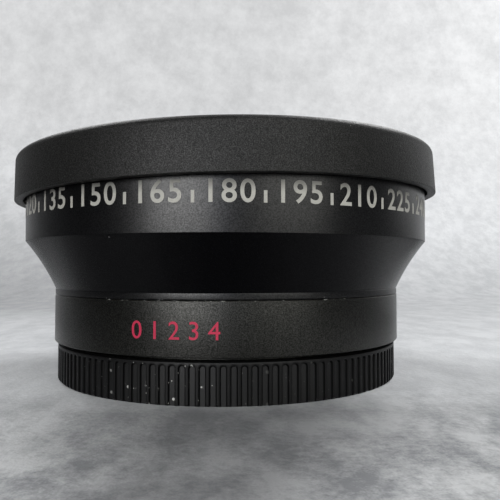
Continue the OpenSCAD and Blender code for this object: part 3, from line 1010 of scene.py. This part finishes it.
def rings_and_seal():
    """The three retaining rings and the round seal over the front glass."""
    black = ring_black()
    for name, low, thickness, inner_r, glass_r, body, cad in (
            ("close_up_retaining_ring", MACRO_RING_Z, RING_T, MACRO_OPEN_R, MACRO_GLASS_R,
             "macro_unit", "macro_retaining_ring"),
            ("second_glass_ring", SECOND_RING_Z, RING_T, SECOND_GLASS_R - RING_LAP, SECOND_GLASS_R,
             "wide_unit", "second_retaining_ring"),
            ("front_glass_ring", FRONT_RING_Z, FRONT_RING_T, FRONT_GLASS_R - RING_LAP - FRONT_RING_T / 2,
             FRONT_GLASS_R, "wide_unit", "front_retaining_ring")):
        ring = slotted_ring_shape(name, low, thickness, inner_r, glass_r + RING_STEP)
        dress(ring, black, body, "ring_black", cad)
    seal = turned("front_glass_seal", arc((SEAL_R, SEAL_Z), SEAL_SECTION_R, 0, 360, 24)[:-1], columns=256)
    dress(seal, seal_rubber(), "wide_unit", "seal_rubber", "front_seal")


def glasses():
    """The cemented close-up pair, the second glass and the front glass."""
    wide = coated_glass("wide_glass", (0.93, 0.98, 0.96), 115.0, 1.62)
    macro = coated_glass("macro_glass", (0.95, 0.97, 0.96), 140.0, 1.58)
    paint = edge_paint()
    hollow = dish(SECOND_HOLLOW_Z, SECOND_CURVE, SECOND_HOLLOW_R, 16, -1) + [(SECOND_GLASS_R, SECOND_Z)]
    flat = [(r, SECOND_TOP_Z) for r in (0.0, 11.0, SECOND_GLASS_R)]
    bowl = dish(FRONT_HOLLOW_Z, FRONT_INNER_CURVE, FRONT_HOLLOW_R, 28, -1) + [(FRONT_GLASS_R, FRONT_Z)]
    for name, back, front, material, body, cad in (
            ("close_up_rear_glass", dish(MACRO_REAR_Z, MACRO_REAR_CURVE, MACRO_GLASS_R, 12, 1),
             dish(CEMENT_Z - SEAT_GAP, CEMENT_CURVE, MACRO_GLASS_R, 16, 1),
             macro, "macro_glass", "macro_rear_element"),
            ("close_up_front_glass", dish(CEMENT_Z, CEMENT_CURVE, MACRO_GLASS_R, 16, 1),
             dish(MACRO_FRONT_Z, MACRO_FRONT_CURVE, MACRO_GLASS_R, 16, -1),
             macro, "macro_glass", "macro_front_element"),
            ("second_glass", hollow, flat, wide, "wide_glass", "second_element"),
            ("front_glass", bowl, dish(FRONT_VERTEX_Z, FRONT_OUTER_CURVE, FRONT_GLASS_R, 20, -1),
             wide, "wide_glass", "front_element")):
        dress(glass_shape(name, back, front, material, paint), material, body, body, cad)


# Studio

# Where the painted glare lies on the cloth, in front of the lens on the left
PAINTED_GLARE_PLACE = (-52.0, -125.0, 0.0)


def right_of_picture(f):
    """1 on the floor to the right of what the picture shows, else 0."""
    return f.ramp(f.minus(f.x, f.product(f.total(f.y, 100.0), 0.5)), 0.0, 7.0)


def cloth_shade(f, height):
    """Painted shade on the cloth: darker up the backdrop, where its glow takes over, a painted shadow in
    front of the lens, and painted shade in places around it, where dark things would stand in the room.
    """
    x, y = f.x, f.y
    front = f.product(f.ramp(y, -58.0, -80.0, 0.0, 0.85), f.ramp(f.distance(PAINTED_GLARE_PLACE), 60.0, 80.0))
    past_left = f.minus(f.product(x, -1.0), f.product(f.total(y, 100.0), 0.39))
    left = f.product(f.ramp(past_left, 0.0, 9.0, 0.0, 0.8),
                     f.highest(f.ramp(y, -30.0, 0.0, 1.0, 0.2), f.ramp(x, -58.0, -78.0, 0.0, 1.15)),
                     f.ramp(y, 0.0, 45.0, 1.0, 0.7), f.ramp(y, 60.0, 130.0, 1.0, 0.5))
    # Painted shadow of the lens on the cloth in front of it
    off = f.calc("ABSOLUTE", f.total(x, f.product(y, -0.25), -10.75))
    off = f.product(off, f.ramp(y, -40.0, -54.0, 1.0, 1.45))
    middle = f.product(f.ramp(off, 7.0, 24.0, 1.0, 0.31), f.ramp(y, -20.0, -30.0, 0.0, 0.58),
                       f.ramp(y, -34.0, -54.0, 1.0, 1.3))
    far = f.product(f.ramp(y, 30.0, 150.0), f.ramp(x, -120.0, 120.0, 0.5, 0.25))
    right = f.product(right_of_picture(f), f.ramp(x, 60.0, 74.0, 0.0, 0.75), f.ramp(y, 60.0, 130.0, 1.0, 0.3))
    return f.highest(front, height, left, middle, far, right)


def cloth_light(f):
    """Painted light on the cloth: a pool of light close on the right, and a painted glare in front on the
    left.
    """
    close = f.product(right_of_picture(f), f.ramp(f.x, 48.0, 60.0, 1.0, 0.0))
    painted_glare = f.product(f.ramp(f.distance(PAINTED_GLARE_PLACE), 60.0, 70.0, 1.0, 0.0), f.ramp(f.y, -58.0, -68.0))
    return f.highest(close, painted_glare)


def floor_paint():
    """Pale grey cloth, mottled, with painted shade and painted light on it, and a backdrop that glows as
    painted light, brighter to the right.
    """
    f = Finish("pale_cloth", Roughness=0.9, Specular_IOR_Level=0.1, Emission_Color=(1.0, 1.01, 1.02, 1))
    weave = f.noise(1.3, 2.0, 0.6)
    mottle = f.total(f.product(f.noise(0.13, 3.0, 0.6, (1.0, 0.55, 1.0)), 0.7),
                     f.product(f.noise(0.40, 3.0, 0.6, (1.0, 0.6, 1.0)), 0.3),
                     f.product(weave, 0.26), f.product(f.noise(4.5, 1.0), 0.14))
    tone = f.blend(f.ramp(mottle, 0.59, 0.81), (0.33, 0.34, 0.355), (0.74, 0.75, 0.76))
    tone = f.blend(f.ramp(f.y, -48.0, -15.0, 0.0, 0.75), tone, (0.545, 0.555, 0.57))
    tone = f.blend(cloth_light(f), tone, (0.95, 0.96, 0.97))
    height = f.ramp(f.z, 4.0, 170.0)
    f.colour(f.blend(cloth_shade(f, height), tone, (0.06, 0.06, 0.062)))
    f.bump((weave, 0.15))
    # Painted light: the backdrop glows for camera, glossy and transmission rays, more up the backdrop,
    # brighter to the right, dimmer far to the left and far to the right, and patchy
    path = node(f.tree, "ShaderNodeLightPath").outputs
    seen = f.highest(path["Is Camera Ray"], path["Is Glossy Ray"], path["Is Transmission Ray"])
    patchy = f.product(f.total(mottle, f.noise(0.03, 3.0, 0.6)), 0.5)
    level = f.product(seen, height, f.ramp(f.x, 20.0, 500.0, 0.595, 0.99),
                      f.ramp(f.x, -700.0, -205.0, 0.2, 1.0), f.ramp(f.x, 900.0, 1800.0, 1.0, 0.4),
                      f.ramp(patchy, 0.48, 0.72, 0.87, 1.10))
    feed(f.tree, f.shader.inputs["Emission Strength"], level)
    return f.material


def sweep():
    """A floor that runs up into a backdrop behind the lens."""
    bend = 200.0
    path = [(y, 0.0) for y in (-4000.0, -1200.0, -300.0, 0.0, bend)]
    path += arc((bend, bend), bend, -81, 0, 9)
    path += [(2 * bend, 600.0), (2 * bend, 1200.0)]
    verts = []
    for y, z in path:
        verts += [(-3000.0, y, z), (3000.0, y, z)]
    faces = [(2 * k, 2 * k + 1, 2 * k + 3, 2 * k + 2) for k in range(len(path) - 1)]
    made = mesh_object("pale_sweep", verts, faces)
    smooth(made.data)
    made.data.materials.append(floor_paint())


def soft_lamp(name, azimuth, elevation, distance, width, height, radiance, colour=(1, 1, 1)):
    """A soft box of that brightness; azimuth is from the front, positive to the right."""
    lamp = bpy.data.lights.new(name, "AREA")
    lamp.shape = "RECTANGLE"
    lamp.size = width
    lamp.size_y = height
    lamp.energy = radiance * math.pi * width * height
    lamp.color = colour
    made = bpy.data.objects.new(name, lamp)
    a = math.radians(azimuth)
    e = math.radians(elevation)
    aim = Vector((0, 0, 0.017))
    towards = Vector((math.sin(a) * math.cos(e), -math.cos(a) * math.cos(e), math.sin(e)))
    made.location = aim + distance * towards
    made.rotation_euler = (-towards).to_track_quat("-Z", "Y").to_euler()
    made.visible_camera = False
    bpy.context.scene.collection.objects.link(made)


def room_light():
    """Faint light from all round, stronger from the right and from above."""
    world = bpy.data.worlds.new("room")
    world.use_nodes = True
    room = Sums(world.node_tree)
    direction = node(room.tree, "ShaderNodeSeparateXYZ")
    room.tree.links.new(node(room.tree, "ShaderNodeTexCoord").outputs["Generated"], direction.inputs[0])
    background = room.tree.nodes["Background"].inputs
    feed(room.tree, background["Strength"], room.total(room.ramp(direction.outputs[0], -1.0, 1.0, 0.03, 0.13),
                                                       room.ramp(direction.outputs[2], 0.3, 0.9, 0.0, 0.12)))
    background["Color"].default_value = (0.95, 0.98, 1.0, 1)
    bpy.context.scene.world = world


def photo_camera():
    """The camera as fitted to the edges in the photo."""
    data = bpy.data.cameras.new("camera")
    data.sensor_width = 36.0
    data.lens = 40.864
    data.clip_start = 0.005
    camera = bpy.data.objects.new("camera", data)
    camera.location = (-0.0004216, -0.0976248, 0.0170308)
    camera.rotation_euler = (math.radians(90 + 1.8553), math.radians(0.0286), math.radians(-2.4722))
    bpy.context.scene.collection.objects.link(camera)
    bpy.context.scene.camera = camera
    bpy.context.scene.view_settings.view_transform = "Standard"


front_cap()
barrel()
close_up_unit()
rear_cap()
rings_and_seal()
glasses()

sweep()
soft_lamp("back_left", -137, 50, 0.55, 0.24, 0.22, 8.5)
soft_lamp("back_right", 130, 50, 0.55, 0.24, 0.22, 11.5)
soft_lamp("left_window", -24.5, 10, 0.75, 0.42, 0.32, 7.8)
soft_lamp("blue_gap", -4.5, 10, 0.75, 0.10, 0.32, 1.2, (0.62, 0.72, 1.0))
soft_lamp("right_window", 32, 17, 0.8, 0.53, 0.48, 2.3, (1.0, 1.0, 0.95))
soft_lamp("ceiling", 16, 42, 0.8, 0.50, 0.25, 3.0)
room_light()
photo_camera()
